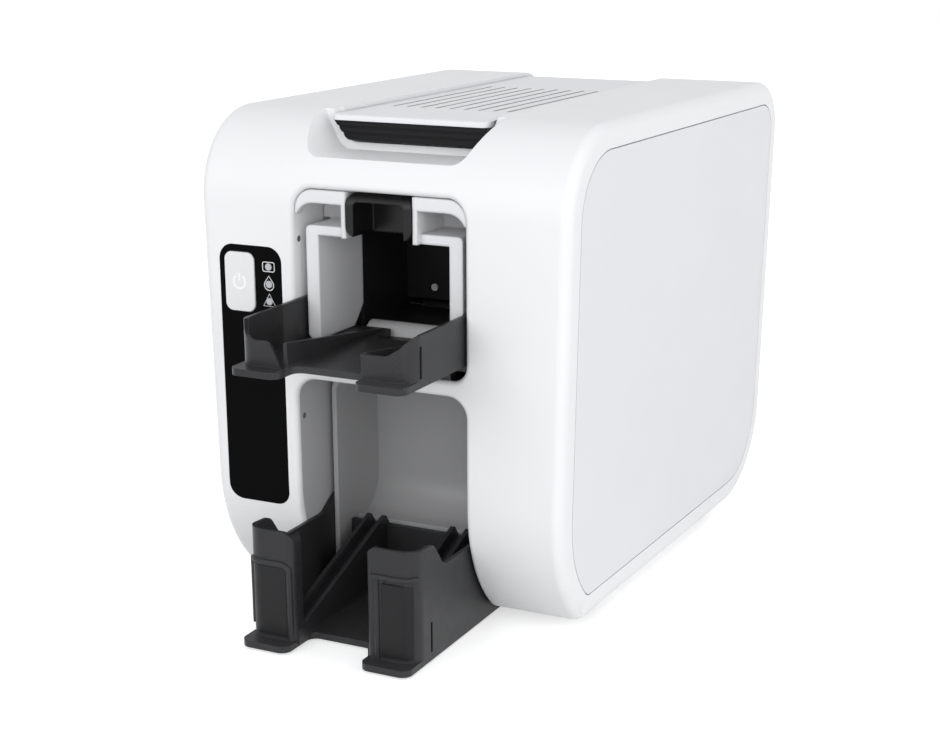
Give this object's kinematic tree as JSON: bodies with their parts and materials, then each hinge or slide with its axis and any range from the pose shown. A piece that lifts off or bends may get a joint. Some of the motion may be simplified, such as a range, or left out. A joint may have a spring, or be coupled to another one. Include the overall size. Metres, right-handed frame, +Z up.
{
  "type": "identity card printer",
  "caption": "Desktop printer for plastic identity cards with a hinged top lid, a feed hopper and tray, an output chute and tray, and a geared card and ribbon drive.",
  "frame": {"origin": "middle of the footprint at table level, with the trays counted in", "axes": "+Z up, front with the trays towards -Y, +X to the right as the user faces the front"},
  "size_m": [0.1604, 0.2714, 0.1933],
  "materials": {
    "casing": "satin white moulded shell",
    "lid_plastic": "satin white moulded lid",
    "screws": "bright zinc",
    "sheet_steel": "zinc coated sheet",
    "foot_rubber": "matte",
    "black_grip": "fine texture",
    "bright_steel": "ground",
    "gloss_black": "high gloss",
    "button_plastic": "gloss",
    "light_pipe": "clear light pipe, unlit",
    "circuit_board": "solder mask",
    "pale_plastic": "satin light grey",
    "dark_plastic": "fine texture",
    "grey_plastic": "satin",
    "smoke_plastic": "smoke grey, slightly translucent, semi-gloss",
    "bush_plastic": "natural",
    "motor_case": "plain",
    "brass_gear": "machined",
    "pale_rubber": "matte",
    "dark_rubber": "matte",
    "blue_roller": "tacky, satin",
    "gear_plastic": "natural",
    "ribbon_black": "thin film, glossy",
    "head_metal": "machined"
  },
  "bodies": {
    "casing": {"main_cover": "casing", "left_side_panel": "casing", "right_side_panel": "casing", "rear_panel": "casing", "rear_panel_screws": "screws", "base_plate": "sheet_steel", "rubber_feet": "foot_rubber", "lid_hinge_rod": "bright_steel", "control_panel": "gloss_black", "status_lights": "light_pipe", "button_board": "circuit_board", "hopper_portal": "pale_plastic", "hopper_hood": "dark_plastic", "hopper_liner": "dark_plastic", "hopper_sensor": "grey_plastic", "tray_bed": "dark_plastic", "output_chute": "pale_plastic", "chassis_left_plate": "sheet_steel", "chassis_right_plate": "sheet_steel", "tie_bars": "bright_steel", "shaft_bushes": "bush_plastic", "idler_posts": "bright_steel", "drive_motor": "motor_case", "ribbon_film": "ribbon_black", "main_board": "circuit_board", "board_standoffs": "bright_steel", "usb_socket": "bright_steel", "power_inlet": "dark_plastic"},
    "lid": {"lid": "lid_plastic", "lid_grip": "black_grip", "head_bracket": "sheet_steel", "print_head": "head_metal"},
    "button": {"power_button": "button_plastic"},
    "input_tray": {"input_tray": "smoke_plastic"},
    "output_tray": {"output_tray": "smoke_plastic"},
    "take_up": {"take_up_spool": "grey_plastic", "take_up_ribbon": "ribbon_black", "take_up_gear": "gear_plastic"},
    "supply": {"supply_spool": "grey_plastic", "supply_ribbon": "ribbon_black"},
    "cleaning": {"cleaning_roller": "blue_roller"},
    "pinch": {"pinch_roller": "grey_plastic"},
    "motor_pinion": {"motor_pinion": "brass_gear"},
    "winder_idler": {"winder_idler_gear": "gear_plastic"},
    "pick": {"pick_roller": "pale_rubber", "pick_shaft": "bright_steel", "pick_gear": "gear_plastic"},
    "entry": {"entry_roller": "dark_rubber", "entry_shaft": "bright_steel", "entry_gear": "gear_plastic"},
    "platen": {"platen_roller": "dark_rubber", "platen_shaft": "bright_steel", "platen_gear": "gear_plastic"},
    "exit": {"exit_roller": "dark_rubber", "exit_shaft": "bright_steel", "exit_gear": "gear_plastic"},
    "idler_front": {"idler_gear_front": "gear_plastic"},
    "idler_middle": {"idler_gear_middle": "gear_plastic"},
    "idler_rear": {"idler_gear_rear": "gear_plastic"}
  },
  "joints": [
    {"name": "lid_hinge", "type": "hinge", "parent": "casing", "child": "lid", "pos_m": [-0.0024, 0.11375, 0.1732], "axis": [-1, 0, 0], "range_deg": [0, 78]},
    {"name": "button_press", "type": "slide", "parent": "casing", "child": "button", "axis": [0, 1, 0], "range_m": [0, 0.0008], "stiffness_N_per_m": 200},
    {"name": "input_tray_slide", "type": "slide", "parent": "casing", "child": "input_tray", "axis": [0, -1, 0], "range_m": [0, 0.06]},
    {"name": "output_tray_slide", "type": "slide", "parent": "casing", "child": "output_tray", "axis": [0, -1, 0], "range_m": [0, 0.06]},
    {"name": "pick_spin", "type": "hinge", "parent": "casing", "child": "pick", "pos_m": [-0.0024, -0.04925, 0.104], "axis": [1, 0, 0], "continuous": true},
    {"name": "entry_spin", "type": "hinge", "parent": "casing", "child": "entry", "pos_m": [-0.0024, -0.00175, 0.104], "axis": [1, 0, 0], "continuous": true},
    {"name": "platen_spin", "type": "hinge", "parent": "casing", "child": "platen", "pos_m": [-0.0024, 0.04575, 0.104], "axis": [1, 0, 0], "continuous": true},
    {"name": "exit_spin", "type": "hinge", "parent": "casing", "child": "exit", "pos_m": [-0.0024, 0.09325, 0.104], "axis": [1, 0, 0], "continuous": true},
    {"name": "idler_front_spin", "type": "hinge", "parent": "casing", "child": "idler_front", "pos_m": [-0.0024, -0.0255, 0.104], "axis": [1, 0, 0], "continuous": true},
    {"name": "idler_middle_spin", "type": "hinge", "parent": "casing", "child": "idler_middle", "pos_m": [-0.0024, 0.022, 0.104], "axis": [1, 0, 0], "continuous": true},
    {"name": "idler_rear_spin", "type": "hinge", "parent": "casing", "child": "idler_rear", "pos_m": [-0.0024, 0.0695, 0.104], "axis": [1, 0, 0], "continuous": true},
    {"name": "motor_pinion_spin", "type": "hinge", "parent": "casing", "child": "motor_pinion", "pos_m": [-0.0024, 0.022, 0.08275], "axis": [1, 0, 0], "continuous": true},
    {"name": "winder_idler_spin", "type": "hinge", "parent": "casing", "child": "winder_idler", "pos_m": [-0.0024, 0.00054, 0.13015], "axis": [1, 0, 0], "continuous": true},
    {"name": "take_up_spin", "type": "hinge", "parent": "casing", "child": "take_up", "pos_m": [-0.0024, 0.00283, 0.1563], "axis": [1, 0, 0], "continuous": true},
    {"name": "supply_spin", "type": "hinge", "parent": "casing", "child": "supply", "pos_m": [-0.0024, 0.08075, 0.15], "axis": [1, 0, 0], "continuous": true},
    {"name": "cleaning_spin", "type": "hinge", "parent": "casing", "child": "cleaning", "pos_m": [-0.0024, -0.00175, 0.1158], "axis": [1, 0, 0], "continuous": true},
    {"name": "pinch_spin", "type": "hinge", "parent": "casing", "child": "pinch", "pos_m": [-0.0024, 0.09325, 0.1158], "axis": [1, 0, 0], "continuous": true}
  ],
  "couplings": [
    {"joint": "pick_spin", "follows": "platen_spin", "ratio": 1},
    {"joint": "entry_spin", "follows": "platen_spin", "ratio": 1},
    {"joint": "exit_spin", "follows": "platen_spin", "ratio": 1},
    {"joint": "idler_front_spin", "follows": "platen_spin", "ratio": -0.72727},
    {"joint": "idler_middle_spin", "follows": "platen_spin", "ratio": -0.72727},
    {"joint": "idler_rear_spin", "follows": "platen_spin", "ratio": -0.72727},
    {"joint": "motor_pinion_spin", "follows": "platen_spin", "ratio": 1.3333},
    {"joint": "winder_idler_spin", "follows": "platen_spin", "ratio": -0.61538},
    {"joint": "take_up_spin", "follows": "platen_spin", "ratio": 1},
    {"joint": "cleaning_spin", "follows": "platen_spin", "ratio": -1.0909},
    {"joint": "pinch_spin", "follows": "platen_spin", "ratio": -1.0909}
  ]
}
